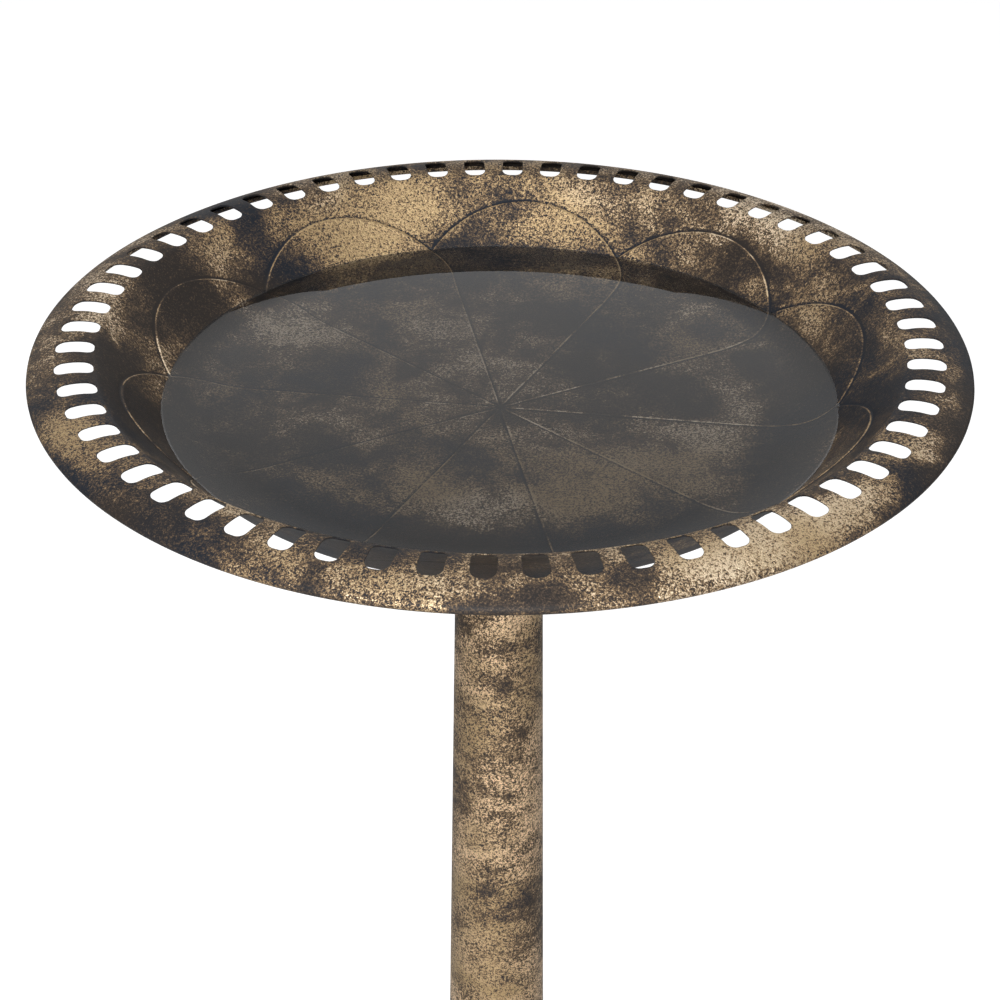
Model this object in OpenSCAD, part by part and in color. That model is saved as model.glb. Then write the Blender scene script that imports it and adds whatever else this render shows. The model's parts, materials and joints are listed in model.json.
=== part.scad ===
// Pedestal bird bath: a stamped, slotted dish that lifts off a tapered steel column on a round base.
// The origin is on the ground under the centre of the base, and +Z is up.

/* [Overall] */
// Height from the ground to the top of the dish's rim
total_h = 760; // [700:5:820]
// Outer diameter of the dish over its rolled edge
dish_d = 550; // [530:5:600]
// Outer diameter of the base over its rolled edge
base_d = 340; // [320:5:380]

/* [Dish] */
// Depth of the dish from the top of its rim to its floor
dish_depth = 62; // [56:1:66]
// Thickness of the dish's sheet
dish_sheet = 1; // [0.8:0.1:1.4]
// Width of the rim between the foot of the sloping wall and the outer edge
wall_foot_in = 99; // [96:1:104]
// Slope of the wall, from the horizontal
wall_angle = 45.5; // [43:0.5:49]
// Radius of the bend between the floor and the wall
floor_bend_r = 60; // [40:2:70]
// Radius of the bend at the top of the wall
wall_top_r = 6; // [4:0.5:8]
// Radius of the rim's rounded crest
crest_r = 45; // [40:1:50]
// Slope at which the crest runs into the rolled edge
crest_end = 34.5; // [30:0.5:38]
// Radius of the rolled edge
dish_roll_r = 3.2; // [2.6:0.1:3.6]

/* [Rim slots] */
// Number of slots round the rim
slot_count = 60; // [40:4:68]
// Length of each slot along the radius
slot_len = 22.4; // [18:0.2:23]
// Width of each slot
slot_w = 13.4; // [11:0.2:14]
// Radius of a slot's corners
slot_corner_r = 5; // [3:0.5:5]
// Distance from the dish's edge to the outer end of a slot
slot_edge = 16.6; // [16:0.2:19]
// Angle of the first slot from +X
dish_phase = 4.25; // [0:0.25:6]

/* [Petals] */
// Number of embossed petals
petal_count = 10; // [8:1:12]
// Angle from the first slot to the first petal's straight edge
petal_phase = 24; // [0:6:30]
// Radius of a petal's round end
petal_r = 73.3; // [70:0.1:76]
// Centre of the round end, along the petal's straight edge
petal_along = 138.6; // [136:0.1:141]
// Centre of the round end, square to the straight edge
petal_across = 53.8; // [52:0.1:56]
// Radius of the bend between the straight edge and the round end
petal_bend_r = 30; // [24:1:36]
// Width of the embossed bead round a petal
bead_w = 1.2; // [1:0.1:2]
// Height of the embossed bead
bead_h = 0.6; // [0.4:0.1:0.8]
// Diameter of the raised button where the petals meet
button_d = 12; // [8:1:16]
// Height of the button above the floor
button_h = 1.4; // [1:0.1:2]

/* [Column] */
// Column diameter at the top
column_top_d = 51.5; // [48:0.5:56]
// Column diameter at the foot
column_foot_d = 69.8; // [66:0.2:72]
// Thickness of the column's wall
column_wall = 1.2; // [1:0.1:2]
// Thickness of the plates welded into the column's two ends
end_plate_t = 3; // [2:0.5:4]

/* [Dish seat] */
// Diameter of the plate under the dish
backing_d = 150; // [120:5:180]
// Thickness of the plate under the dish
backing_t = 2; // [1.5:0.5:3]
// Thickness of the rubber seat between the dish and the column
seat_t = 2; // [1:0.5:3]
// Diameter of the spigot that holds the dish on the column
spigot_d = 24; // [20:1:26]
// Length of the spigot below the plate
spigot_len = 42; // [30:1:48]
// Thickness of the spigot's wall
spigot_wall = 2.5; // [2:0.5:3]
// Radial play of the pieces that turn or slide in each other
play = 0.05; // [0.02:0.01:0.1]

/* [Base] */
// Height of the deck that the column stands on
deck_h = 85; // [80:1:95]
// Radius of the flat deck
deck_r = 44; // [43:1:48]
// Thickness of the base's sheet
base_sheet = 1.2; // [1:0.1:1.6]
// Radius of the bend at the deck's edge
shoulder_r = 14; // [10:1:16]
// Steepest slope of the bell under the deck
bell_angle = 70; // [64:1:74]
// Radius of the bell's sweep into the flange
sweep_r = 70; // [60:1:74]
// Height of the top of the flange
flange_h = 7.2; // [7:0.1:8]
// Radius of the base's rolled edge
base_roll_r = 3.2; // [2.8:0.1:3.3]
// Width of the collar at the column's foot
collar_w = 7; // [5:0.5:8]
// Height of the collar
collar_h = 12; // [8:1:16]

/* [Fasteners and feet] */
// Number of holes for ground pegs
peg_count = 3; // [3:1:3]
// Diameter of the peg holes
peg_hole_d = 9; // [7:0.5:11]
// Diameter of the circle that the peg holes and the feet lie on
foot_circle_d = 298; // [294:1:300]
// Number of rubber feet
foot_count = 6; // [6:6:6]
// Diameter of a rubber foot
foot_d = 20; // [14:1:22]
// Diameter of the foot's stem in the flange
foot_stem_d = 6; // [4:1:8]
// Diameter of the clamping bolt
bolt_d = 8; // [6:2:10]
// Diameter of the holes that the bolt passes through
bolt_hole_d = 9; // [9:0.5:11]

/* [Hidden] */
$fn = 96;

roll_turn = 250;        // how far round both edges are rolled
bend_steps = 6;
crest_steps = 8;
roll_steps = 12;
over = 1;               // how far a cutting tool runs past a face

// Dish, worked out from its rim inwards
dish_r = dish_d / 2;
floor_z = total_h - dish_depth;
crest_c = [dish_r - dish_roll_r - (crest_r - dish_roll_r) * sin(crest_end), total_h - crest_r];
wall_foot = [dish_r - wall_foot_in, floor_z];
floor_bend_c = [wall_foot.x - floor_bend_r * tan(wall_angle / 2), floor_z + floor_bend_r];
wall_to_crest = (crest_c.x - wall_foot.x) * sin(wall_angle) - (crest_c.y - wall_foot.y) * cos(wall_angle);
crest_start = wall_angle - acos((wall_to_crest - wall_top_r) / (crest_r - wall_top_r));
wall_top_c = crest_c + (crest_r - wall_top_r) * [-sin(crest_start), cos(crest_start)];
dish_roll_c = crest_c + (crest_r - dish_roll_r) * [sin(crest_end), cos(crest_end)];
slot_outer = dish_r - slot_edge;
slot_inner = slot_outer - slot_len;
slot_cut_h = 8;         // how far below the rim's top the slots are cut
slot_pitch = 360 / slot_count;
petal_pitch = 360 / petal_count;
petal_c = [petal_along, petal_across];
petal_bend_x = petal_along + sqrt((petal_r - petal_bend_r) ^ 2 - (petal_across - petal_bend_r) ^ 2);
petal_bend_c = [petal_bend_x, petal_bend_r];
petal_bend_end = atan2(petal_bend_r - petal_across, petal_bend_x - petal_along);
next_bend_c = turned(petal_bend_c, petal_pitch);
next_gap = next_bend_c - petal_c;
next_along = (petal_r ^ 2 - petal_bend_r ^ 2 + norm(next_gap) ^ 2) / (2 * norm(next_gap));
petal_end = atan2(next_gap.y, next_gap.x) - acos(next_along / petal_r);
bead_sink = 0.3;        // how far a bead reaches into the sheet

// Stack between the dish and the column
backing_z = floor_z - dish_sheet - backing_t;
column_top_z = backing_z - seat_t;
spigot_r = spigot_d / 2;
socket_r = spigot_r + play;
socket_wall = 3;
socket_past = 6;        // how far the socket reaches below the spigot
socket_len = spigot_len + socket_past;
seat_d = 50;

// Foot of the column
plate_hole_r = bolt_hole_d / 2;
bolt_r = bolt_d / 2;
nut_h = 6.5;
nut_across = 13;
washer_d = 44;
washer_t = 2.5;
washer_z = deck_h - base_sheet - washer_t;
collar_gap = 0.3;

// Base
shoulder_c = [deck_r, deck_h - shoulder_r];
shoulder_end = shoulder_c + shoulder_r * [sin(bell_angle), cos(bell_angle)];
sweep_start_z = flange_h + sweep_r * (1 - cos(bell_angle));
sweep_start_r = shoulder_end.x + (shoulder_end.y - sweep_start_z) / tan(bell_angle);
sweep_c = [sweep_start_r + sweep_r * sin(bell_angle), flange_h + sweep_r];
base_roll_c = [base_d / 2 - base_roll_r, flange_h - base_roll_r];
foot_circle_r = foot_circle_d / 2;
foot_stem_r = foot_stem_d / 2;
foot_under = flange_h - base_sheet;
foot_head_lip = 2;
foot_head_r = foot_stem_r + foot_head_lip;
foot_head_h = 2.2;
foot_pitch = 360 / foot_count;
peg_pitch = 360 / peg_count;

// Wing bolt
hub_r = 9;
hub_h = 8;
wing_r = 8;
wing_reach = 17;
wing_t = 3.5;
wing_root_low = 12;     // depth of the wings' root below the hub's top
wing_root_h = 9.6;
bolt_past_nut = 8;
bolt_top = deck_h + end_plate_t + nut_h + bolt_past_nut;

dark_bronze = [0.36, 0.29, 0.2];
light_bronze = [0.55, 0.45, 0.32];
zinc = [0.72, 0.72, 0.7];
black_rubber = [0.08, 0.08, 0.08];

// Points on an arc about c. from and to are angles from +X, and first is 1 to leave out the first point.
function arc(c, r, from, to, steps, first = 0) =
    [for (i = [first : steps]) let (a = from + (to - from) * i / steps) c + r * [cos(a), sin(a)]];

function turned(p, angle) = [p.x * cos(angle) - p.y * sin(angle), p.x * sin(angle) + p.y * cos(angle)];

function reversed(points) = [for (i = [len(points) - 1 : -1 : 0]) points[i]];

// The dish's section from the axis to the wall's top, at a distance below the upper surface
function dish_bowl(below) = concat(
    [[0, floor_z - below]],
    arc(floor_bend_c, floor_bend_r + below, -90, wall_angle - 90, bend_steps),
    arc(wall_top_c, wall_top_r - below, 90 + wall_angle, 90 + crest_start, bend_steps)
);

// The rim's section from the wall's top round the rolled edge
function dish_rim(below) = concat(
    arc(crest_c, crest_r - below, 90 + crest_start, 90 - crest_end, crest_steps, 1),
    arc(dish_roll_c, dish_roll_r - below, 90 - crest_end, 90 - crest_end - roll_turn, roll_steps, 1)
);

function dish_section(below) = concat(dish_bowl(below), dish_rim(below));

// The base's section from the bolt hole out to the rolled edge
function base_section(below) = concat(
    [[plate_hole_r, deck_h - below]],
    arc(shoulder_c, shoulder_r - below, 90, 90 - bell_angle, bend_steps),
    arc(sweep_c, sweep_r + below, 270 - bell_angle, 270, bend_steps * 2),
    arc(base_roll_c, base_roll_r - below, 90, 90 - roll_turn, roll_steps)
);

// Column radius at height z, less an inset
function column_r(z, inset = 0) =
    let (share = (column_top_z - z) / (column_top_z - deck_h))
    (column_top_d + (column_foot_d - column_top_d) * share) / 2 - inset;

module washer(outer_r, inner_r, thickness) {
    difference() {
        cylinder(r = outer_r, h = thickness);
        translate([0, 0, -over]) cylinder(r = inner_r, h = thickness + 2 * over);
    }
}

// A disc that fits inside the column between two heights
module column_disc(low, high) {
    translate([0, 0, low])
        cylinder(r1 = column_r(low, column_wall), r2 = column_r(high, column_wall), h = high - low);
}

// One slot in plan, on +X: a rectangle with rounded corners
module slot() {
    corner_y = slot_w / 2 - slot_corner_r;
    translate([slot_inner, -corner_y]) square([slot_len, 2 * corner_y]);
    translate([slot_inner + slot_corner_r, -slot_w / 2]) square([slot_len - 2 * slot_corner_r, slot_w]);
    for (x = [slot_inner + slot_corner_r, slot_outer - slot_corner_r], y = [-corner_y, corner_y])
        translate([x, y]) circle(r = slot_corner_r);
}

// Part of a ring of bead about c, between two angles less than 180 degrees apart
module bead_arc(c, r, from, to) {
    reach = 2 * r;
    translate(c) intersection() {
        difference() {
            circle(r = r + bead_w / 2);
            circle(r = r - bead_w / 2);
        }
        polygon(concat([[0, 0]], arc([0, 0], reach, from, to, 2)));
    }
}

// Outline of one petal: a straight edge, a bend, and a round end that stops at the next petal's edge
module petal_line() {
    lap = 0.5;
    translate([0, -bead_w / 2]) square([petal_bend_x + bead_w / 2, bead_w]);
    bead_arc(petal_bend_c, petal_bend_r, -90, petal_bend_end);
    bead_arc(petal_c, petal_r, petal_bend_end - lap, petal_end + lap);
}

// The petals' beads follow the dish's upper surface
module petal_beads() {
    intersection() {
        rotate_extrude() polygon(concat(dish_bowl(bead_sink), reversed(dish_bowl(-bead_h))));
        translate([0, 0, floor_z - over]) linear_extrude(dish_depth + 2 * over)
            for (i = [0 : petal_count - 1]) rotate(petal_phase + i * petal_pitch) petal_line();
    }
}

module dish() {
    color(dark_bronze) rotate([0, 0, dish_phase]) {
        difference() {
            rotate_extrude() polygon(concat(dish_section(0), reversed(dish_section(dish_sheet))));
            translate([0, 0, total_h - slot_cut_h]) linear_extrude(slot_cut_h + over)
                for (i = [0 : slot_count - 1]) rotate(i * slot_pitch) slot();
        }
        petal_beads();
        translate([0, 0, floor_z - bead_sink]) cylinder(d1 = button_d, d2 = button_d / 2, h = bead_sink + button_h);
    }
}

module dish_backing_plate() {
    color(dark_bronze) translate([0, 0, backing_z]) cylinder(d = backing_d, h = backing_t);
}

module dish_spigot() {
    color(zinc) translate([0, 0, backing_z - spigot_len]) washer(spigot_r, spigot_r - spigot_wall, spigot_len);
}

module seat_washer() {
    color(black_rubber) translate([0, 0, column_top_z]) washer(seat_d / 2, socket_r, seat_t);
}

module column() {
    color(light_bronze) rotate_extrude() polygon([
        [column_r(deck_h, column_wall), deck_h],
        [column_r(deck_h), deck_h],
        [column_r(column_top_z), column_top_z],
        [column_r(column_top_z, column_wall), column_top_z]
    ]);
}

module column_top_plate() {
    color(dark_bronze) difference() {
        column_disc(column_top_z - end_plate_t, column_top_z);
        translate([0, 0, column_top_z - end_plate_t - over])
            cylinder(r = socket_r + socket_wall, h = end_plate_t + 2 * over);
    }
}

module column_socket() {
    color(zinc) translate([0, 0, column_top_z - socket_len]) washer(socket_r + socket_wall, socket_r, socket_len);
}

module column_foot_plate() {
    color(dark_bronze) difference() {
        column_disc(deck_h, deck_h + end_plate_t);
        translate([0, 0, deck_h - over]) cylinder(r = plate_hole_r, h = end_plate_t + 2 * over);
    }
}

module foot_weld_nut() {
    color(zinc) translate([0, 0, deck_h + end_plate_t]) difference() {
        cylinder(r = nut_across / 2 / cos(30), h = nut_h, $fn = 6);
        translate([0, 0, -over]) cylinder(r = bolt_r + play, h = nut_h + 2 * over);
    }
}

module base_collar() {
    foot_round = collar_w / 4;
    top_round = collar_w / 2;
    inner_low = column_r(deck_h) + collar_gap;
    inner_high = column_r(deck_h + collar_h) + collar_gap;
    outer = inner_low + collar_w;
    color(light_bronze) rotate_extrude() polygon(concat(
        [[inner_high, deck_h + collar_h], [inner_low, deck_h]],
        arc([outer - foot_round, deck_h + foot_round], foot_round, -90, 0, bend_steps),
        arc([outer - top_round, deck_h + collar_h - top_round], top_round, 0, 90, bend_steps)
    ));
}

module base_dome() {
    color(dark_bronze) difference() {
        rotate_extrude() polygon(concat(base_section(0), reversed(base_section(base_sheet))));
        translate([0, 0, foot_under - over]) linear_extrude(base_sheet + 2 * over) {
            for (i = [0 : peg_count - 1]) rotate(i * peg_pitch)
                translate([foot_circle_r, 0]) circle(d = peg_hole_d);
            for (i = [0 : foot_count - 1]) rotate((i + 0.5) * foot_pitch)
                translate([foot_circle_r, 0]) circle(r = foot_stem_r);
        }
    }
}

module base_washer() {
    color(zinc) translate([0, 0, washer_z]) washer(washer_d / 2, plate_hole_r, washer_t);
}

module wing() {
    rotate([90, 0, 0]) translate([0, 0, -wing_t / 2]) linear_extrude(wing_t) {
        translate([wing_reach, -wing_r]) circle(r = wing_r);
        translate([0, -wing_root_low]) square([wing_reach, wing_root_h]);
    }
}

module base_wing_bolt() {
    color(zinc) {
        translate([0, 0, washer_z - hub_h]) cylinder(r = hub_r, h = hub_h);
        translate([0, 0, washer_z - over]) cylinder(r = bolt_r, h = bolt_top - washer_z + over);
        for (side = [0, 180]) rotate([0, 0, side]) translate([0, 0, washer_z - over]) wing();
    }
}

module rubber_foot() {
    chamfer = 1.5;
    rotate_extrude() polygon([
        [0, 0],
        [foot_d / 2 - chamfer, 0],
        [foot_d / 2, chamfer],
        [foot_d / 2, foot_under],
        [foot_stem_r, foot_under],
        [foot_stem_r, flange_h],
        [foot_head_r, flange_h],
        [foot_head_r - chamfer, flange_h + foot_head_h],
        [0, flange_h + foot_head_h]
    ]);
}

module rubber_feet() {
    color(black_rubber) for (i = [0 : foot_count - 1])
        rotate([0, 0, (i + 0.5) * foot_pitch]) translate([foot_circle_r, 0, 0]) rubber_foot();
}

dish();
dish_backing_plate();
dish_spigot();
seat_washer();
column();
column_top_plate();
column_socket();
column_foot_plate();
foot_weld_nut();
base_collar();
base_dome();
base_washer();
base_wing_bolt();
rubber_feet();
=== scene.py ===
"""Pedestal bird bath: detailed dish, water, patina and studio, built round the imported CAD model."""
import json
import math

import bmesh
import bpy
import numpy as np
from mathutils import Matrix, Vector
from mathutils.geometry import delaunay_2d_cdt


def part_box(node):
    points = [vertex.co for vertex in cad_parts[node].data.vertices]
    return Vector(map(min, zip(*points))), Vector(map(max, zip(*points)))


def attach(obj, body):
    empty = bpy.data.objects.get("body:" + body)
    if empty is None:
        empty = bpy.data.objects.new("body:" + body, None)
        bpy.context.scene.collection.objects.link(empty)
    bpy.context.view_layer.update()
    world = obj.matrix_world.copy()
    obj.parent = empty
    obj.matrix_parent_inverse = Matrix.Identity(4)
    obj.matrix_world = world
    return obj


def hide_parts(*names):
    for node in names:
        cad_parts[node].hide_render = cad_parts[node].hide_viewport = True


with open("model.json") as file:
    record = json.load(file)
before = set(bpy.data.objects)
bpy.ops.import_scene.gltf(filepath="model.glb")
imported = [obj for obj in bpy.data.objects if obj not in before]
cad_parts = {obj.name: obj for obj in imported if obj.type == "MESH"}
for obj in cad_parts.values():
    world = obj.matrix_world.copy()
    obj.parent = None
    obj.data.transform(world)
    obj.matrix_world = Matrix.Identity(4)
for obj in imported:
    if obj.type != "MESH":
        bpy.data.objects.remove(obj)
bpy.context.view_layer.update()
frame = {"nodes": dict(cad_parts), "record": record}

MM = 0.001

# The dish, in millimetres, as the CAD model has it. Heights are above the ground.
RIM_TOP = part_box("dish")[1].z / MM
DISH_RADIUS = 275.0
DISH_DEPTH = 62.0
SHEET = 1.0
WALL_FOOT_IN = 99.0
WALL_ANGLE = math.radians(45.5)
FLOOR_BEND_R = 60.0
WALL_TOP_R = 6.0
CREST_R = 45.0
CREST_END = math.radians(34.5)
ROLL_R = 3.2
ROLL_TURN = math.radians(250)
DISH_PHASE = math.radians(4.25)

SLOT_COUNT = 60
SLOT_LENGTH = 22.4
SLOT_WIDTH = 13.4
SLOT_CORNER_R = 5.0
SLOT_EDGE = 16.6

PETAL_COUNT = 10
PETAL_PHASE = math.radians(24)
PETAL_R = 73.3
PETAL_CENTRE = (138.6, 53.8)
PETAL_BEND_R = 30.0
PETAL_STEP = 0.6
BUTTON_RADIUS = 6.0

# Deepest water over the floor
WATER_DEPTH = 24.4


# ---------------------------------------------------------------- the dish's section

FLOOR_Z = RIM_TOP - DISH_DEPTH
CREST_C = (DISH_RADIUS - ROLL_R - (CREST_R - ROLL_R) * math.sin(CREST_END), RIM_TOP - CREST_R)
WALL_FOOT_R = DISH_RADIUS - WALL_FOOT_IN
FLOOR_BEND_C = (WALL_FOOT_R - FLOOR_BEND_R * math.tan(WALL_ANGLE / 2), FLOOR_Z + FLOOR_BEND_R)
WALL_TO_CREST = (
    (CREST_C[0] - WALL_FOOT_R) * math.sin(WALL_ANGLE) - (CREST_C[1] - FLOOR_Z) * math.cos(WALL_ANGLE)
)
CREST_START = WALL_ANGLE - math.acos((WALL_TO_CREST - WALL_TOP_R) / (CREST_R - WALL_TOP_R))
WALL_TOP_C = (
    CREST_C[0] - (CREST_R - WALL_TOP_R) * math.sin(CREST_START),
    CREST_C[1] + (CREST_R - WALL_TOP_R) * math.cos(CREST_START),
)
ROLL_C = (
    CREST_C[0] + (CREST_R - ROLL_R) * math.sin(CREST_END),
    CREST_C[1] + (CREST_R - ROLL_R) * math.cos(CREST_END),
)
BEND_START_R = FLOOR_BEND_C[0]
BEND_END_R = FLOOR_BEND_C[0] + FLOOR_BEND_R * math.sin(WALL_ANGLE)
KNUCKLE_START_R = WALL_TOP_C[0] - WALL_TOP_R * math.sin(WALL_ANGLE)
KNUCKLE_END_R = WALL_TOP_C[0] - WALL_TOP_R * math.sin(CREST_START)


def dish_section(r):
    """Height and slope angle of the dish's upper surface at radius r, as arrays."""
    r = np.asarray(r, float)
    bend = np.clip((r - FLOOR_BEND_C[0]) / FLOOR_BEND_R, 0, math.sin(WALL_ANGLE))
    wall = FLOOR_Z + (r - WALL_FOOT_R) * math.tan(WALL_ANGLE)
    knuckle = np.clip((WALL_TOP_C[0] - r) / WALL_TOP_R, math.sin(CREST_START), math.sin(WALL_ANGLE))
    crest = np.clip((CREST_C[0] - r) / CREST_R, -math.sin(CREST_END), math.sin(CREST_START))
    zones = [r < BEND_START_R, r < BEND_END_R, r < KNUCKLE_START_R, r < KNUCKLE_END_R]
    z = np.select(
        zones,
        [
            np.full_like(r, FLOOR_Z),
            FLOOR_BEND_C[1] - FLOOR_BEND_R * np.sqrt(1 - bend**2),
            wall,
            WALL_TOP_C[1] + WALL_TOP_R * np.sqrt(1 - knuckle**2),
        ],
        CREST_C[1] + CREST_R * np.sqrt(1 - crest**2),
    )
    slope = np.select(
        zones,
        [np.zeros_like(r), np.arcsin(bend), np.full_like(r, WALL_ANGLE), np.arcsin(knuckle)],
        np.arcsin(crest),
    )
    return z, slope


# ---------------------------------------------------------------- the embossed petals

PETAL_PITCH = 2 * math.pi / PETAL_COUNT
PETAL_BEND_X = PETAL_CENTRE[0] + math.sqrt(
    (PETAL_R - PETAL_BEND_R) ** 2 - (PETAL_CENTRE[1] - PETAL_BEND_R) ** 2
)
PETAL_BEND_END = math.atan2(PETAL_BEND_R - PETAL_CENTRE[1], PETAL_BEND_X - PETAL_CENTRE[0])
# Where the mesh's lines along the round end stop
PETAL_LAST = math.radians(88)
# The plate's step falls to this share of its height, over about this distance in from the edge
PETAL_FAINT = 0.35
PETAL_FADE = 16.0
# Half the width of the step itself
EDGE_HALF = 0.28
# The bead just inside the edge and the crease just outside it: height, place and half width
BEAD_HEIGHT = 0.18
BEAD_IN = 0.5
CREASE_DEPTH = 0.14
CREASE_OUT = 0.55
BEAD_HALF = 0.4
# The embossing fades in over this distance from the button's edge
HUB_FADE = 9.0


def turned(x, y, angle):
    """The point or points x, y turned about the dish's axis."""
    return x * np.cos(angle) - y * np.sin(angle), x * np.sin(angle) + y * np.cos(angle)


def inside_petal(x, y):
    """Signed distance to the edge of the petal whose straight edge lies on +X: positive inside it."""
    far = 1e3
    line = np.where((x > 0) & (x < PETAL_BEND_X), y, far)
    bend_angle = np.arctan2(y - PETAL_BEND_R, x - PETAL_BEND_X)
    on_bend = (bend_angle > -math.pi / 2) & (bend_angle < PETAL_BEND_END)
    bend = np.where(on_bend, PETAL_BEND_R - np.hypot(x - PETAL_BEND_X, y - PETAL_BEND_R), far)
    round_angle = np.arctan2(y - PETAL_CENTRE[1], x - PETAL_CENTRE[0])
    to_round = PETAL_R - np.hypot(x - PETAL_CENTRE[0], y - PETAL_CENTRE[1])
    round_end = np.where(round_angle > PETAL_BEND_END, to_round, far)
    found = np.stack([line, bend, round_end])
    nearest = np.take_along_axis(found, np.abs(found).argmin(0)[None], 0)[0]
    return np.where((x <= 0) & (y < 0), -far, nearest)


def smooth(t):
    """0 to 1 with soft ends, held outside them."""
    t = np.clip(t, 0, 1)
    return t * t * (3 - 2 * t)


def petal_relief(x, y):
    """Height of the embossing: each petal's edge stands up, and the next petal laps over its far side."""
    height = np.zeros_like(x)
    for k in (-1, 0, 1):
        inside = inside_petal(*turned(x, y, -k * PETAL_PITCH))
        fade = np.exp(-np.maximum(inside, 0) / PETAL_FADE)
        plate = PETAL_STEP * (PETAL_FAINT + (1 - PETAL_FAINT) * fade)
        bead = BEAD_HEIGHT * np.exp(-(((inside - BEAD_IN) / BEAD_HALF) ** 2))
        crease = -CREASE_DEPTH * np.exp(-(((inside + CREASE_OUT) / BEAD_HALF) ** 2))
        raised = smooth(inside / (2 * EDGE_HALF) + 0.5)
        height = height * (1 - raised) + plate * raised + bead + crease
    return height * smooth((np.hypot(x, y) - BUTTON_RADIUS) / HUB_FADE)


# ---------------------------------------------------------------- the dish's mesh

WEDGE_START = -math.pi / SLOT_COUNT
WEDGE_END = WEDGE_START + PETAL_PITCH
HUB_R = 6.6
SLOT_ZONE_R = 262.0
SLOT_MIDDLE = DISH_RADIUS - SLOT_EDGE - SLOT_LENGTH / 2
SLOT_CORNER_ALONG = SLOT_LENGTH / 2 - SLOT_CORNER_R
SLOT_CORNER_ACROSS = SLOT_WIDTH / 2 - SLOT_CORNER_R

# Distances of mesh lines from a petal's edge and from a slot, and the sheet's drop at the slot's lines
EDGE_OFFSETS = (-1.3, -0.5, 0.0, 0.5, 1.3)
SLOT_OFFSETS = (0.0, 0.35, 1.0, 2.2)
SLOT_DROPS = (0.3, 0.06, 0.0, 0.0)
# Points on each of a slot's corners and straight runs, both ends counted
SLOT_CORNER_POINTS = 6
SLOT_RUN_POINTS = 5
# Points of the plain rings stay this clear of those lines
CLEAR_OF_EDGE = 2.2
CLEAR_OF_SLOT = 3.6
# Spacing of points along the plain rings, on the flat floor and beyond it, and a wedge's fewest steps
FLOOR_GAP = 8.0
WALL_GAP = 4.5
FEWEST_STEPS = 3
# Steps of a wedge round the button and round the rim
HUB_STEPS = 9
RIM_STEPS = 36
# A petal's edge: how far from the button's ring it starts, points on its straight run, arc spacing
EDGE_FROM_HUB = 0.6
EDGE_RUN_POINTS = 48
BEND_STEP = 1.5
ROUND_STEP = 2.2
# Rings out over the crest and round the rolled edge
CREST_RINGS = 5
ROLL_RINGS = 15
# Points closer than this are one point: in plan, and where the wedges meet
SAME_IN_PLAN = 1e-4
SAME_AT_SEAM = 0.02

# Start, end and number of rings of each stretch of the section, closer together where the sheet bends
RING_STRETCHES = (
    (HUB_R, BEND_START_R, 19),
    (BEND_START_R, BEND_END_R, 12),
    (BEND_END_R, KNUCKLE_START_R, 10),
    (KNUCKLE_START_R, KNUCKLE_END_R, 6),
    (KNUCKLE_END_R, SLOT_ZONE_R, 9),
)
# Radius and height of each ring of the raised button, from its edge to its middle
BUTTON_RINGS = (
    (HUB_R, 0.0),
    (6.1, 0.06),
    (5.6, 0.3),
    (4.8, 0.72),
    (3.8, 1.02),
    (2.6, 1.2),
    (1.3, 1.3),
)


def arc(centre, radius, start, end, step):
    """Points on an arc, about a step apart."""
    count = max(2, math.ceil(abs(end - start) * radius / step))
    angles = np.linspace(start, end, count + 1)
    return np.stack([centre[0] + radius * np.cos(angles), centre[1] + radius * np.sin(angles)], 1)


def petal_edge(offset):
    """A petal's edge, moved inwards by an offset: a straight run, a bend and the round end."""
    along = np.linspace(HUB_R + EDGE_FROM_HUB, PETAL_BEND_X, EDGE_RUN_POINTS)
    straight = np.stack([along, np.full(EDGE_RUN_POINTS, offset)], 1)
    bend_centre = (PETAL_BEND_X, PETAL_BEND_R)
    bend = arc(bend_centre, PETAL_BEND_R - offset, -math.pi / 2, PETAL_BEND_END, BEND_STEP)
    round_end = arc(PETAL_CENTRE, PETAL_R - offset, PETAL_BEND_END, PETAL_LAST, ROUND_STEP)
    return np.concatenate([straight[:-1], bend[:-1], round_end])


def slot_outline(angle, offset):
    """A closed ring round a slot, an offset outside its edge: four corners joined by straight runs."""
    turn = np.linspace(0, math.pi / 2, SLOT_CORNER_POINTS)
    r = SLOT_CORNER_R + offset
    corners = []
    for quarter, (across_way, along_way) in enumerate(((1, 1), (1, -1), (-1, -1), (-1, 1))):
        way = turn + quarter * math.pi / 2
        along = SLOT_MIDDLE + along_way * SLOT_CORNER_ALONG + r * np.cos(way)
        across = across_way * SLOT_CORNER_ACROSS + r * np.sin(way)
        corners.append(np.stack([along, across], 1))
    ring = []
    for corner, following in zip(corners, corners[1:] + corners[:1]):
        ring.append(corner)
        if abs(following[0][0] - corner[-1][0]) > SLOT_CORNER_R:
            share = np.linspace(0, 1, SLOT_RUN_POINTS)[1:-1, None]
            ring.append(corner[-1] + (following[0] - corner[-1]) * share)
    x, y = np.concatenate(ring).T
    return np.stack(turned(x, y, angle), 1)


def slot_distance(x, y):
    """Distance outside the nearest slot's edge, negative inside it."""
    pitch = 2 * math.pi / SLOT_COUNT
    r, angle = np.hypot(x, y), np.arctan2(y, x)
    angle = (angle + pitch / 2) % pitch - pitch / 2
    along = np.abs(r * np.cos(angle) - SLOT_MIDDLE) - SLOT_CORNER_ALONG
    across = np.abs(r * np.sin(angle)) - SLOT_CORNER_ACROSS
    beyond = np.hypot(np.maximum(along, 0), np.maximum(across, 0))
    return beyond + np.minimum(np.maximum(along, across), 0) - SLOT_CORNER_R


def edge_clearance(x, y):
    """Distance to the nearest petal edge."""
    return np.min([np.abs(inside_petal(*turned(x, y, -k * PETAL_PITCH))) for k in (-1, 0, 1, 2)], 0)


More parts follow.
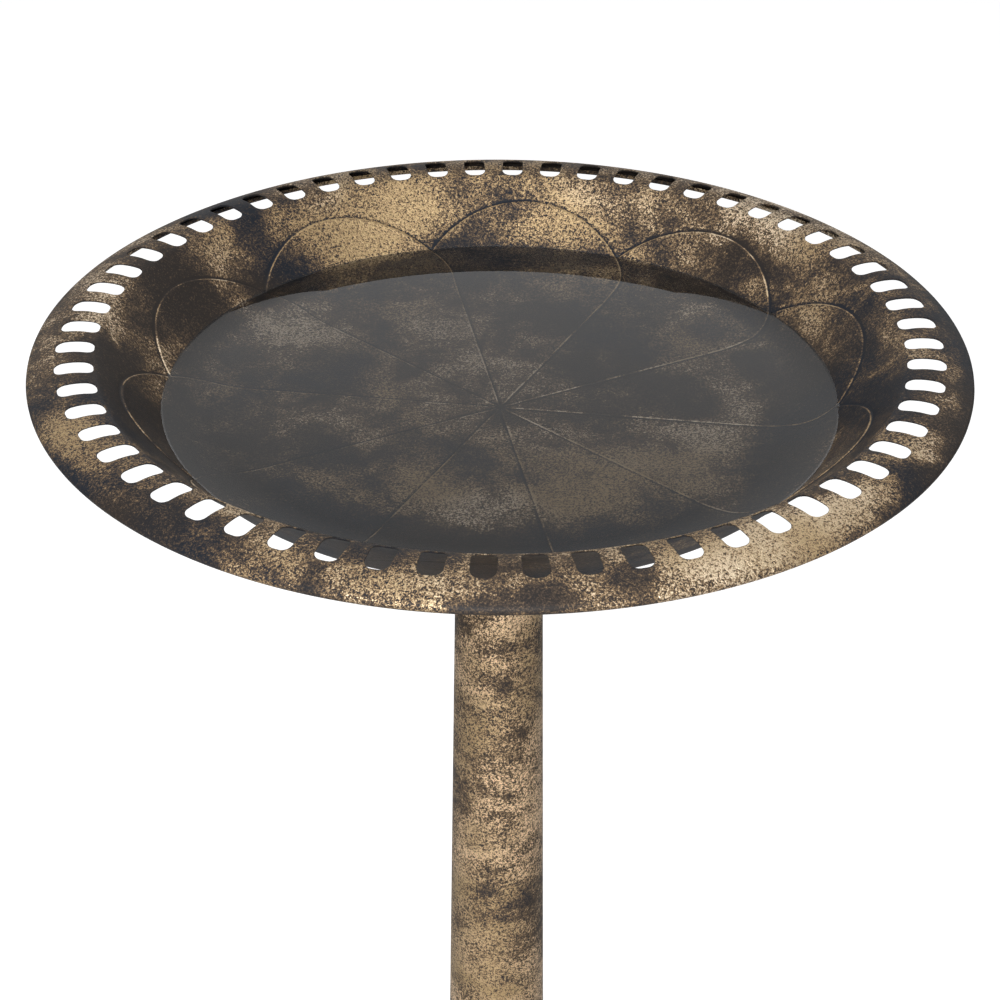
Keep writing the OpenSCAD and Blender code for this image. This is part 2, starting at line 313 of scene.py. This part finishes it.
def ring_radii():
    """Radii of the mesh's rings, from the button out to the rim."""
    stretches = [np.linspace(start, end, count)[1:] for start, end, count in RING_STRETCHES]
    return np.concatenate([[HUB_R], *stretches])


def wedge_plan():
    """A tenth of the dish in plan, as points and triangles. Petal edges and slots are mesh lines."""
    points, edges = [], []

    def add_line(line, closed=False):
        first = len(points)
        points.extend(map(tuple, line))
        edges.extend((first + i, first + i + 1) for i in range(len(line) - 1))
        if closed:
            edges.append((first + len(line) - 1, first))

    radii = ring_radii()
    for side in (WEDGE_START, WEDGE_END):
        add_line(np.stack([radii * math.cos(side), radii * math.sin(side)], 1))
    for r, count in ((HUB_R, HUB_STEPS), (SLOT_ZONE_R, RIM_STEPS)):
        angles = np.linspace(WEDGE_START, WEDGE_END, count + 1)
        add_line(np.stack([r * np.cos(angles), r * np.sin(angles)], 1))
    for k in (-1, 0, 1):
        for offset in EDGE_OFFSETS:
            x, y = petal_edge(offset).T
            add_line(np.stack(turned(x, y, k * PETAL_PITCH), 1))
    for i in range(SLOT_COUNT // PETAL_COUNT):
        for offset in SLOT_OFFSETS:
            add_line(slot_outline(i * 2 * math.pi / SLOT_COUNT, offset), closed=True)
    for r in radii[1:-1]:
        gap = FLOOR_GAP if r < BEND_START_R else WALL_GAP
        count = max(FEWEST_STEPS, round(r * PETAL_PITCH / gap))
        angles = np.linspace(WEDGE_START, WEDGE_END, count + 1)[1:-1]
        x, y = r * np.cos(angles), r * np.sin(angles)
        keep = (edge_clearance(x, y) > CLEAR_OF_EDGE) & (slot_distance(x, y) > CLEAR_OF_SLOT)
        points.extend(zip(x[keep], y[keep]))

    found = delaunay_2d_cdt([Vector(p) for p in points], edges, [], 0, SAME_IN_PLAN)
    plan, triangles = np.array([tuple(v) for v in found[0]]), np.array(found[2])
    middle = plan[triangles].mean(1)
    angle, r = np.arctan2(middle[:, 1], middle[:, 0]), np.hypot(*middle.T)
    keep = (angle > WEDGE_START) & (angle < WEDGE_END) & (slot_distance(*middle.T) > 0)
    keep &= (r > HUB_R * math.cos(PETAL_PITCH / HUB_STEPS / 2)) & (r < SLOT_ZONE_R)
    return plan, triangles[keep]


def wedge_surface(plan):
    """The plan's points raised onto the dish, with the embossing and the slots' softened edges."""
    x, y = plan.T
    r = np.hypot(x, y)
    z, slope = dish_section(r)
    lift = petal_relief(x, y)
    drop = np.interp(slot_distance(x, y), SLOT_OFFSETS, SLOT_DROPS)
    lift = np.where(r > KNUCKLE_START_R, -drop, lift)
    out = -lift * np.sin(slope) / np.maximum(r, 1)
    return np.stack([x + x * out, y + y * out, z + lift * np.cos(slope)], 1)


def rolled_rings():
    """Radius and height of each ring from the slots out over the crest and round the rolled edge."""
    start = math.asin((SLOT_ZONE_R - CREST_C[0]) / CREST_R)
    crest = [(CREST_C, CREST_R, a) for a in np.linspace(start, CREST_END, CREST_RINGS)]
    turns = np.linspace(CREST_END, CREST_END + ROLL_TURN, ROLL_RINGS)[1:]
    roll = [(ROLL_C, ROLL_R, a) for a in turns]
    return [(c[0] + r * math.sin(a), c[1] + r * math.cos(a)) for c, r, a in crest + roll]


def ring_grid(mesh, rings, steps):
    """Quads between successive rings of the same number of points."""
    rows = []
    for r, z in rings:
        angles = [WEDGE_START + 2 * math.pi * i / steps for i in range(steps)]
        rows.append([mesh.verts.new((r * math.cos(a), r * math.sin(a), z)) for a in angles])
    for low, high in zip(rows, rows[1:]):
        for i in range(steps):
            j = (i + 1) % steps
            mesh.faces.new((low[i], high[i], high[j], low[j]))
    return rows


def dish_mesh():
    """The whole dish's upper surface: ten wedges, the button in the middle and the rolled edge."""
    mesh = bmesh.new()
    plan, triangles = wedge_plan()
    surface = wedge_surface(plan)
    for k in range(PETAL_COUNT):
        x, y = turned(surface[:, 0], surface[:, 1], k * PETAL_PITCH)
        used = {i: mesh.verts.new((x[i], y[i], surface[i, 2])) for i in sorted(set(triangles.ravel()))}
        for a, b, c in triangles:
            mesh.faces.new((used[a], used[b], used[c]))
    ring_grid(mesh, rolled_rings(), RIM_STEPS * PETAL_COUNT)
    button = [(r, FLOOR_Z + h) for r, h in reversed(BUTTON_RINGS)]
    rows = ring_grid(mesh, button, HUB_STEPS * PETAL_COUNT)
    mesh.faces.new(rows[0])
    bmesh.ops.remove_doubles(mesh, verts=mesh.verts, dist=SAME_AT_SEAM)
    turn = Matrix.Rotation(DISH_PHASE + PETAL_PHASE, 4, "Z") @ Matrix.Scale(MM, 4)
    bmesh.ops.transform(mesh, matrix=turn, verts=mesh.verts)
    bmesh.ops.recalc_face_normals(mesh, faces=mesh.faces)
    if sum(f.normal.z * f.calc_area() for f in mesh.faces) < 0:
        bmesh.ops.reverse_faces(mesh, faces=mesh.faces)
    return mesh


def shade_smooth(data):
    """Smooth shading on every face of a mesh."""
    for face in data.polygons:
        face.use_smooth = True


def new_object(name, mesh):
    """An object from a bmesh, linked to the scene and shaded smooth."""
    data = bpy.data.meshes.new(name)
    mesh.to_mesh(data)
    mesh.free()
    thing = bpy.data.objects.new(name, data)
    bpy.context.scene.collection.objects.link(thing)
    shade_smooth(data)
    return thing


def apply_modifiers(thing):
    """Bakes an object's modifiers into its mesh and keeps its real corners sharp."""
    bpy.context.view_layer.update()
    shaped = thing.evaluated_get(bpy.context.evaluated_depsgraph_get())
    data = bpy.data.meshes.new_from_object(shaped)
    thing.modifiers.clear()
    thing.data = data
    shade_smooth(data)
    data.set_sharp_from_angle(angle=SHARP_ANGLE)


# Marks reach this far from a petal's edge, in millimetres
MARK_REACH = 3.0
# A vertex this close to a slot's edge is on the cut
CUT_REACH = 0.1
# Faces that meet at more than this have a sharp corner between them
SHARP_ANGLE = math.radians(50)

# Patches where the gold is thick or thin, some of them painted shade: the ring at radius 193 darkens the
# foot of the wall under the water, the patch at bearing 180, radius 162 the front of the floor's bend,
# and the strip at bearing 100, radius 275 the outside of the rolled edge. Columns: bearing in degrees
# clockwise from the back, radius, reach round the dish, reach across, strength
GOLD_PATCHES_AND_SHADE = [
    (-15, 225, 30, 17, 1.6), (-25, 208, 34, 13, 1.1), (12, 226, 34, 15, 1.1), (30, 220, 32, 16, 0.2),
    (50, 233, 20, 12, 0.7), (46, 216, 34, 14, -0.9), (64, 222, 22, 20, 0.1), (-36, 222, 22, 12, 0.4),
    (-53, 222, 22, 12, 0.4), (-45, 200, 26, 16, -0.6), (-64, 215, 30, 24, -1.1), (8, 205, 28, 12, 0.1),
    (40, 205, 30, 14, -0.4), (105, 225, 70, 22, -0.9), (-105, 222, 80, 26, -1.1),
    (-70, 222, 50, 20, -0.5), (-95, 262, 90, 14, -0.1), (92, 260, 90, 14, -0.4),
    (100, 275, 160, 6, -1.2), (-130, 275, 90, 5, -0.6), (193, 262, 60, 12, 0.5),
    (222, 262, 26, 12, -0.8), (240, 262, 40, 12, 0.3), (148, 262, 56, 14, 2.0), (164, 264, 12, 10, -0.7),
    (136, 262, 34, 14, 0.6), (178, 270, 22, 8, -0.5), (118, 262, 22, 12, 0.3), (125, 268, 12, 9, -0.8),
    (256, 266, 26, 10, -0.4), (-52, 165, 34, 22, 0.7), (-30, 130, 50, 30, 0.3), (155, 90, 60, 50, 0.5),
    (200, 100, 46, 36, 0.3), (112, 140, 44, 22, 0.5), (78, 142, 24, 16, 0.5), (80, 100, 40, 26, -0.4),
    (35, 110, 60, 40, -0.4), (100, 175, 110, 22, -0.9), (180, 162, 120, 24, -1.4),
    (-110, 165, 90, 30, -0.7), (-125, 110, 26, 16, -0.6), (0, 150, 40, 20, -0.3),
    (-75, 120, 30, 30, -0.5), (188, 70, 60, 26, -0.7), (148, 120, 60, 40, 0.5), (0, 193, 100, 7, -0.5),
    (70, 193, 110, 7, -0.6), (-70, 193, 110, 7, -0.5),
]


def dish_places(data):
    """Every vertex's place in the wedges' own frame, in millimetres."""
    flat = np.empty(len(data.vertices) * 3)
    data.vertices.foreach_get("co", flat)
    x, y, _ = flat.reshape(-1, 3).T / MM
    return turned(x, y, -(DISH_PHASE + PETAL_PHASE))


def by_first_petal(x, y):
    """The points turned back by whole petals, until they lie by the first one."""
    return turned(x, y, -PETAL_PITCH * np.round(np.arctan2(y, x) / PETAL_PITCH))


def edge_reach(x, y):
    """Distance in from the nearest edge of the petal on top, and out from the nearest edge beside it."""
    x, y = by_first_petal(x, y)
    inwards = np.full_like(x, MARK_REACH)
    outwards = np.full_like(x, MARK_REACH)
    for k in (-2, -1, 0, 1, 2):
        inside = inside_petal(*turned(x, y, -k * PETAL_PITCH))
        laps = inside > 0
        inwards = np.where(laps, np.minimum(inside, MARK_REACH), inwards)
        outwards = np.where(laps, MARK_REACH, np.minimum(outwards, np.abs(inside)))
    return inwards, outwards


def plate_height(x, y):
    """Share of the full step that the embossing stands up by."""
    return np.clip(petal_relief(*by_first_petal(x, y)) / PETAL_STEP, 0, 1)


def gold_patches_and_shade(x, y):
    """How much more gold than usual each place has, from the list of patches, some of them painted shade.
    """
    x, y = turned(x, y, DISH_PHASE + PETAL_PHASE)
    r, bearing = np.hypot(x, y), np.arctan2(x, y)
    total = np.zeros_like(r)
    for middle, radius, round_reach, cross_reach, strength in GOLD_PATCHES_AND_SHADE:
        off = (bearing - math.radians(middle) + math.pi) % (2 * math.pi) - math.pi
        square = (off * radius / round_reach) ** 2 + ((r - radius) / cross_reach) ** 2
        total += strength * np.exp(-square)
    return total


def cut_edge(x, y):
    """1 on the cut edges of the slots, where the black paint shows."""
    return np.abs(slot_distance(x, y)) < CUT_REACH


def underside(x):
    """1 on the sheet's lower face, whose vertices follow all those of the upper face."""
    return np.arange(len(x)) >= len(x) // 2


def mark(thing, name, values):
    """Writes one number per vertex for a material to read."""
    layer = thing.data.attributes.new(name, "FLOAT", "POINT")
    layer.data.foreach_set("value", np.asarray(values, np.float32))


def make_dish():
    """The stamped sheet in its full thickness, with the marks that its patina reads."""
    dish = new_object("stamped_dish", dish_mesh())
    shell = dish.modifiers.new("sheet", "SOLIDIFY")
    shell.thickness = SHEET * MM
    shell.offset = -1
    apply_modifiers(dish)
    x, y = dish_places(dish.data)
    inwards, outwards = edge_reach(x, y)
    mark(dish, "edge_in", inwards)
    mark(dish, "edge_out", outwards)
    mark(dish, "petal_plate", plate_height(x, y))
    # Gold patches, some of which darken the bowl as painted shade
    mark(dish, "gold_patches_and_shade", gold_patches_and_shade(x, y))
    mark(dish, "cut_edge", cut_edge(x, y))
    mark(dish, "underside", underside(x))
    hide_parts("dish")
    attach(dish, "dish_assembly")
    return dish


# ---------------------------------------------------------------- materials

class Graph:
    """Short names for building the nodes of a material or of the world."""

    def __init__(self, owner, output="Material"):
        owner.use_nodes = True
        self.owner = owner
        self.nodes = owner.node_tree.nodes
        self.links = owner.node_tree.links
        self.nodes.clear()
        self.output = self.nodes.new("ShaderNodeOutput" + output)

    def node(self, kind, **inputs):
        made = self.nodes.new("ShaderNode" + kind)
        for name, value in inputs.items():
            self.put(made.inputs[name.replace("_", " ")], value)
        return made

    def put(self, socket, value):
        if isinstance(value, bpy.types.NodeSocket):
            self.links.new(value, socket)
        else:
            socket.default_value = value

    def noise(self, place, scale, detail=2.0, roughness=0.5, distortion=0.0):
        made = self.node("TexNoise", Vector=place, Scale=scale, Detail=detail, Roughness=roughness)
        made.inputs["Distortion"].default_value = distortion
        return made.outputs["Fac"]

    def math(self, operation, *values):
        made = self.nodes.new("ShaderNodeMath")
        made.operation = operation
        for socket, value in zip(made.inputs, values):
            self.put(socket, value)
        return made.outputs[0]

    def ramp(self, value, low, high, to_low=0.0, to_high=1.0, kind="SMOOTHSTEP"):
        """value carried from low..high to to_low..to_high, and held at both ends."""
        made = self.nodes.new("ShaderNodeMapRange")
        made.interpolation_type = kind
        for name, number in (("Value", value), ("From Min", low), ("From Max", high)):
            self.put(made.inputs[name], number)
        made.inputs["To Min"].default_value = to_low
        made.inputs["To Max"].default_value = to_high
        return made.outputs["Result"]

    def mix(self, share, a, b):
        made = self.nodes.new("ShaderNodeMix")
        made.data_type = "RGBA"
        self.put(made.inputs["Factor"], share)
        self.put(made.inputs["A"], a)
        self.put(made.inputs["B"], b)
        return made.outputs["Result"]

    def bump(self, height, strength, distance, normal=None):
        made = self.node("Bump", Height=height, Strength=strength, Distance=distance)
        if normal is not None:
            self.links.new(normal, made.inputs["Normal"])
        return made.outputs["Normal"]

    def mark(self, name):
        """A number that the mesh holds for each vertex."""
        made = self.nodes.new("ShaderNodeAttribute")
        made.attribute_name = name
        return made.outputs["Fac"]

    def place(self):
        return self.node("TexCoord").outputs["Object"]

    def ray(self, kind):
        """1 where the ray is of this kind, such as Is Camera Ray."""
        return self.node("LightPath").outputs[kind]

    def finish(self, shader):
        self.links.new(shader, self.output.inputs["Surface"])
        return self.owner


# The patina's colours, darkest first
CUT_BLACK = (0.008, 0.008, 0.009, 1)
BLUE_BLACK = (0.012, 0.015, 0.021, 1)
SOOT = (0.024, 0.020, 0.018, 1)
UMBER = (0.080, 0.056, 0.038, 1)
BRONZE = (0.27, 0.18, 0.095, 1)
OCHRE = (0.50, 0.36, 0.19, 1)
PALE_BRONZE = (0.88, 0.64, 0.41, 1)
CHAMPAGNE = (0.86, 0.71, 0.52, 1)

# Cover: how much gold the finer strokes and the mesh's marks add to the broad patches or take away
STROKE_SCALE = 3.3
STROKE_DEPTH = 1.7
PATCHES_AND_SHADE_GOLD = 0.60
PLATE_GOLD = 0.06
PLAIN_LOSS = 0.02
# Gold taken off the dish's whole underside is painted shade, darkening it
UNDERSIDE_PAINTED_SHADE = 0.45
COVER_RANGE = (-0.15, 1.15)
MOST_COVER = 0.88

# Fine speckle: its two noises, and its depth in the dark and in the gold
WORM_SCALE = 620.0
WORM_SHARE = 0.6
GRAIN_SCALE = 1250.0
GRAIN_SHARE = 0.4
SPECK_RANGE = (0.1, 0.6)
SPECK_IN_DARK = 1.8
SPECK_IN_GOLD = 5.6

# Petal edges by millimetres from the edge: gold wear and painted highlight inside, painted shade in the
# crease outside
WORN_AND_HIGHLIGHT_RANGE = (0.5, 1.2)
WORN_AND_HIGHLIGHT_GOLD = 0.9
STROKES_RANGE = (0.36, 0.60)
STROKES_WEAR_AND_HIGHLIGHT = (0.1, 0.7)
CREASE_START = (0.1, 0.4)
CREASE_END = (0.9, 1.9)
CREASE_PAINTED_SHADE = 0.5

# Tint: where blue-black takes over from soot, and the second pale colour from the first
TINT_SCALE = 0.8
BLUE_RANGE = (0.44, 0.60)
PALES_RANGE = (0.40, 0.62)

# Tone: where umber, bronze and the pale colour each take over, and where the surface turns to metal
UMBER_RANGE = (0.0, 0.40)
BRONZE_RANGE = (0.28, 0.66)
PALE_RANGE = (0.55, 1.0)
GOLD_RANGE = (0.35, 0.9)

# Surface, from bare paint to full gold
MOST_METAL = 0.7
GLOSS = (0.12, 0.5)
ROUGHNESS = (0.46, 0.35)
WRINKLE_RANGE = (0.1, 0.7)
WRINKLE = (0.25, 1.0)
WRINKLE_HEIGHT = 0.0009
DENT_SCALE = 45.0
DENT_STRENGTH = 0.3
DENT_HEIGHT = 0.002


def cover_of(g, broad, strokes, cover, depth, on_dish):
    """Share of gold at each place, before the speckle."""
    patch = g.math("MULTIPLY_ADD", broad, depth, cover - depth / 2)
    patch = g.math("ADD", patch, g.math("MULTIPLY_ADD", strokes, STROKE_DEPTH, -STROKE_DEPTH / 2))
    if on_dish:
        # Gold patches, some of which take gold away as painted shade
        patch = g.math("ADD", patch, g.math("MULTIPLY", g.mark("gold_patches_and_shade"), PATCHES_AND_SHADE_GOLD))
        plate = g.math("MULTIPLY_ADD", g.mark("petal_plate"), PLATE_GOLD, -PLAIN_LOSS)
        patch = g.math("ADD", patch, plate)
        # Painted shade: the underside has less gold
        patch = g.math("SUBTRACT", patch, g.math("MULTIPLY", g.mark("underside"), UNDERSIDE_PAINTED_SHADE))
    return g.ramp(patch, *COVER_RANGE, 0.0, MOST_COVER)


def speckle(g, at):
    """Fine wrinkles and grains of the paint."""
    worms = g.noise(at, WORM_SCALE, roughness=0.7, distortion=0.6)
    grain = g.noise(at, GRAIN_SCALE, detail=1.0, roughness=0.6)
    return g.math("ADD", g.math("MULTIPLY", worms, WORM_SHARE), g.math("MULTIPLY", grain, GRAIN_SHARE))


def edge_wear_and_painted_light(g, tone, strokes):
    """Petal edges: gold wear and painted highlight where the strokes are strong, painted shade in the
    creases.
    """
    inwards, outwards = g.mark("edge_in"), g.mark("edge_out")
    near_edge = g.ramp(inwards, *WORN_AND_HIGHLIGHT_RANGE, 1.0, 0.0)
    worn_and_highlit = g.math("MULTIPLY", near_edge, g.ramp(strokes, *STROKES_RANGE, *STROKES_WEAR_AND_HIGHLIGHT))
    # Gold wear along the edge, which also paints the edge's highlight
    tone = g.math("ADD", tone, g.math("MULTIPLY", worn_and_highlit, WORN_AND_HIGHLIGHT_GOLD))
    # Painted shade in the crease outside the edge
    crease = g.math("MULTIPLY", g.ramp(outwards, *CREASE_START), g.ramp(outwards, *CREASE_END, 1.0, 0.0))
    return g.math("SUBTRACT", tone, g.math("MULTIPLY", crease, CREASE_PAINTED_SHADE))


def patina(name, cover, patch_scale, patch_depth, stretch, pales, on_dish=False):
    """Antique bronze: gold sponged over charcoal wrinkle paint.

    cover is the usual share of gold, and pales are the two colours of the thickest gold. on_dish adds
    what the dish's mesh marks: gold patches and painted shade, petal edges with gold wear and painted
    highlight and painted shade in their creases, painted shade on the underside, and cut edges.
    """
    g = Graph(bpy.data.materials.new(name))
    at = g.place()
    broad_at = g.node("Mapping", Vector=at, Scale=stretch).outputs["Vector"]
    broad = g.noise(broad_at, patch_scale, distortion=0.5)
    strokes = g.noise(broad_at, patch_scale * STROKE_SCALE, detail=5.0, roughness=0.66, distortion=0.4)
    patch = cover_of(g, broad, strokes, cover, patch_depth, on_dish)
    speck = speckle(g, at)
    depth = g.ramp(patch, *SPECK_RANGE, SPECK_IN_DARK, SPECK_IN_GOLD)
    tone = g.math("ADD", patch, g.math("MULTIPLY", g.math("ADD", speck, -0.5), depth))
    if on_dish:
        # Gold wear and painted highlight on petal edges, painted shade in their creases
        tone = edge_wear_and_painted_light(g, tone, strokes)

    tint = g.noise(broad_at, patch_scale * TINT_SCALE, distortion=0.4)
    dark = g.mix(g.ramp(tint, *BLUE_RANGE), SOOT, BLUE_BLACK)
    pale = g.mix(g.ramp(tint, *PALES_RANGE), *pales)
    colour = g.mix(g.ramp(tone, *UMBER_RANGE), dark, UMBER)
    colour = g.mix(g.ramp(tone, *BRONZE_RANGE), colour, BRONZE)
    colour = g.mix(g.ramp(tone, *PALE_RANGE), colour, pale)
    if on_dish:
        colour = g.mix(g.mark("cut_edge"), colour, CUT_BLACK)

    gold = g.ramp(tone, *GOLD_RANGE)
    dents = g.noise(at, DENT_SCALE)
    wrinkle = g.bump(speck, g.ramp(tone, *WRINKLE_RANGE, *WRINKLE), WRINKLE_HEIGHT)
    shader = g.node("BsdfPrincipled")
    g.put(shader.inputs["Base Color"], colour)
    g.put(shader.inputs["Metallic"], g.math("MULTIPLY", gold, MOST_METAL))
    g.put(shader.inputs["Specular IOR Level"], g.ramp(gold, 0.0, 1.0, *GLOSS))
    g.put(shader.inputs["Roughness"], g.ramp(gold, 0.0, 1.0, *ROUGHNESS))
    g.put(shader.inputs["Normal"], g.bump(dents, DENT_STRENGTH, DENT_HEIGHT, wrinkle))
    return g.finish(shader.outputs["BSDF"])


def plain_material(name, clouds, colours, roughness, grain, **shader_inputs):
    """A cloudy colour and roughness over a fine grain.

    clouds is a scale and a range, roughness a range and its two ends, and grain a scale, detail,
    strength and height.
    """
    cloud_scale, cloud_range = clouds
    grain_scale, grain_detail, grain_strength, grain_height = grain
    g = Graph(bpy.data.materials.new(name))
    at = g.place()
    cloud = g.noise(at, cloud_scale, detail=4.0)
    fine = g.noise(at, grain_scale, detail=grain_detail)
    shader = g.node("BsdfPrincipled", **shader_inputs)
    g.put(shader.inputs["Base Color"], g.mix(g.ramp(cloud, *cloud_range), *colours))
    g.put(shader.inputs["Roughness"], g.ramp(cloud, *roughness))
    g.put(shader.inputs["Normal"], g.bump(fine, grain_strength, grain_height))
    return g.finish(shader.outputs["BSDF"])


def zinc_material():
    """Zinc-plated steel with a faint cloudy grain and fine scratches."""
    return plain_material(
        "zinc",
        clouds=(90.0, (0.35, 0.7)),
        colours=((0.55, 0.56, 0.57, 1), (0.72, 0.71, 0.66, 1)),
        roughness=(0.3, 0.7, 0.28, 0.46),
        grain=(1500.0, 2.0, 0.2, 0.0002),
        Metallic=1.0,
    )


def rubber_material():
    """Black moulded rubber, dusty in patches."""
    return plain_material(
        "black_rubber",
        clouds=(140.0, (0.45, 0.75)),
        colours=((0.018, 0.018, 0.019, 1), (0.045, 0.043, 0.040, 1)),
        roughness=(0.3, 0.8, 0.62, 0.82),
        grain=(1400.0, 1.0, 0.3, 0.0003),
    )


WATER_IOR = 1.333
WATER_TINT = (0.22, 0.23, 0.25, 1)
WATER_SHADE = (0.54, 0.55, 0.57, 1)


def water_material():
    """Still water, tinted like the dark bowl under it. Lamps shine through it at about half strength."""
    g = Graph(bpy.data.materials.new("water"))
    shader = g.node("BsdfPrincipled", Roughness=0.0, IOR=WATER_IOR)
    g.put(shader.inputs["Base Color"], WATER_TINT)
    g.put(shader.inputs["Transmission Weight"], 1.0)
    shade = g.node("BsdfTransparent", Color=WATER_SHADE)
    mixed = g.nodes.new("ShaderNodeMixShader")
    g.put(mixed.inputs[0], g.ray("Is Shadow Ray"))
    g.put(mixed.inputs[1], shader.outputs["BSDF"])
    g.put(mixed.inputs[2], shade.outputs["BSDF"])
    return g.finish(mixed.outputs[0])


FLOOR_GLOW = 0.80
FLOOR_SPOTS = 3.0
FLOOR_GREYS = ((0.50, 0.50, 0.50, 1), (0.53, 0.53, 0.53, 1))


def floor_material():
    """A pale floor that glows for the camera alone, so that it looks white without lighting the bath."""
    g = Graph(bpy.data.materials.new("pale_floor"))
    tone = g.mix(g.noise(g.place(), FLOOR_SPOTS), *FLOOR_GREYS)
    cloth = g.node("BsdfDiffuse", Color=tone)
    glow = g.node("Emission", Strength=g.math("MULTIPLY", g.ray("Is Camera Ray"), FLOOR_GLOW))
    both = g.nodes.new("ShaderNodeAddShader")
    g.put(both.inputs[0], cloth.outputs["BSDF"])
    g.put(both.inputs[1], glow.outputs["Emission"])
    return g.finish(both.outputs[0])


def give(thing, material):
    """Makes this the thing's only material."""
    thing.data.materials.clear()
    thing.data.materials.append(material)


def paint_nodes(by_slot):
    """Every CAD node gets its slot's material."""
    for part in frame["record"]["subparts"]:
        give(frame["nodes"][part["node"]], by_slot[part["material_slot"]])


# ---------------------------------------------------------------- water, floor, light and camera

# The water's rings, and the lip that climbs the wall: out from the waterline and up, in millimetres
WATER_RINGS = 8
WATER_STEPS = 180
WATER_HUB_SHARE = 0.1
LIP_START = 1.5
LIP = ((-0.7, 0.12), (0.2, 0.55))
FLOOR_REACH = 12.0

# Brightness of the room in front, behind and high up, and the directions between which it changes
ROOM_FRONT = 0.32
ROOM_BACK = 0.70
FRONT_TO_BACK = (0.0, 0.8)
ROOM_HIGH = 0.45
LEVEL_TO_HIGH = (0.40, 0.62)
# How much brighter the room is in the water's mirror
MIRRORED = 1.75

# Name, place, aim, width and height in metres, and watts of each lamp
DISH_MIDDLE = (0, 0, RIM_TOP * MM)
COLUMN_MIDDLE = (0, 0, 0.45)
LAMPS = (
    ("key", (-0.25, -1.7, 2.35), DISH_MIDDLE, (1.7, 1.5), 54),
    ("front", (-0.15, -2.4, 1.1), COLUMN_MIDDLE, (0.35, 1.4), 42),
    ("top", (0.1, 0.5, 2.7), DISH_MIDDLE, (1.6, 1.2), 9),
)

# The camera. Its height is measured from the plane of the slots, a little under the rim's top
SLOT_PLANE_DEPTH = 1.0
SLOT_PLANE = (RIM_TOP - SLOT_PLANE_DEPTH) * MM
CAMERA_PLACE = (0.0003, -1.2231, SLOT_PLANE + 0.6333)
CAMERA_TIP = math.radians(58.61)
CAMERA_ROLL = math.radians(0.35)
LENS = 84.4
SENSOR = 36.0
FAR_CLIP = 60.0


def make_water():
    """The still water's surface, which meets the wall all round."""
    level = FLOOR_Z + WATER_DEPTH
    edge = WALL_FOOT_R + (level - FLOOR_Z) / math.tan(WALL_ANGLE)
    mesh = bmesh.new()
    plain = np.linspace(edge * WATER_HUB_SHARE, edge - LIP_START, WATER_RINGS)
    rings = [(r, level) for r in plain] + [(edge + out, level + up) for out, up in LIP]
    rows = ring_grid(mesh, rings, WATER_STEPS)
    mesh.faces.new(rows[0])
    bmesh.ops.transform(mesh, matrix=Matrix.Scale(MM, 4), verts=mesh.verts)
    bmesh.ops.recalc_face_normals(mesh, faces=mesh.faces)
    if sum(f.normal.z for f in mesh.faces) < 0:
        bmesh.ops.reverse_faces(mesh, faces=mesh.faces)
    water = new_object("water", mesh)
    give(water, water_material())
    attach(water, "dish_assembly")


def make_floor():
    """A flat square under the feet, far past the camera's view."""
    mesh = bmesh.new()
    bmesh.ops.create_grid(mesh, x_segments=1, y_segments=1, size=FLOOR_REACH)
    ground = new_object("floor", mesh)
    give(ground, floor_material())


def add_lamp(name, place, aim, size, watts):
    """A rectangular softbox at a place, turned to its aim."""
    lamp = bpy.data.lights.new(name, "AREA")
    lamp.shape = "RECTANGLE"
    lamp.size, lamp.size_y = size
    lamp.energy = watts
    holder = bpy.data.objects.new(name, lamp)
    holder.location = place
    holder.rotation_euler = (Vector(aim) - Vector(place)).to_track_quat("-Z", "Y").to_euler()
    bpy.context.scene.collection.objects.link(holder)


def light_world():
    """White for the camera. The bath sees a dimmer room, paler behind and brighter in still water."""
    world = bpy.data.worlds.new("studio")
    bpy.context.scene.world = world
    g = Graph(world, "World")
    way = g.nodes.new("ShaderNodeSeparateXYZ")
    g.put(way.inputs[0], g.node("TexCoord").outputs["Generated"])
    front_to_back = g.ramp(way.outputs["Y"], *FRONT_TO_BACK, ROOM_FRONT, ROOM_BACK, kind="LINEAR")
    level_to_high = g.ramp(way.outputs["Z"], *LEVEL_TO_HIGH, 1.0, ROOM_HIGH, kind="LINEAR")
    room = g.math("MULTIPLY", front_to_back, level_to_high)
    mirrored = g.ramp(g.ray("Is Singular Ray"), 0.0, 1.0, 1.0, MIRRORED, kind="LINEAR")
    strength = g.math("MAXIMUM", g.math("MULTIPLY", room, mirrored), g.ray("Is Camera Ray"))
    sky = g.node("Background", Color=(1, 1, 1, 1), Strength=strength)
    g.finish(sky.outputs["Background"])


def add_camera():
    """The photograph's viewpoint: above the dish and in front of it, with a slight roll."""
    lens = bpy.data.cameras.new("camera")
    lens.sensor_width = SENSOR
    lens.lens = LENS
    lens.clip_end = FAR_CLIP
    camera = bpy.data.objects.new("camera", lens)
    tip = Matrix.Rotation(CAMERA_TIP, 4, "X")
    roll = Matrix.Rotation(CAMERA_ROLL, 4, "Z")
    camera.matrix_world = Matrix.Translation(CAMERA_PLACE) @ tip @ roll
    bpy.context.scene.collection.objects.link(camera)
    bpy.context.scene.camera = camera


def show_colours_plainly():
    """Colours go into the picture without a film look."""
    view = bpy.context.scene.view_settings
    view.view_transform = "Standard"
    view.look = "None"


add_camera()
dish_bronze = patina(
    "dish_bronze",
    cover=0.40,
    patch_scale=9.0,
    patch_depth=1.3,
    stretch=(1, 1, 1),
    pales=(CHAMPAGNE, OCHRE),
    on_dish=True,
)
stand_bronze = patina(
    "stand_bronze",
    cover=0.62,
    patch_scale=14.0,
    patch_depth=1.5,
    stretch=(0.9, 0.9, 1.5),
    pales=(PALE_BRONZE, OCHRE),
)
paint_nodes({
    "dish_bronze": dish_bronze,
    "stand_bronze": stand_bronze,
    "zinc_steel": zinc_material(),
    "black_rubber": rubber_material(),
})
give(make_dish(), dish_bronze)
make_water()
make_floor()
light_world()
for lamp in LAMPS:
    add_lamp(*lamp)
show_colours_plainly()
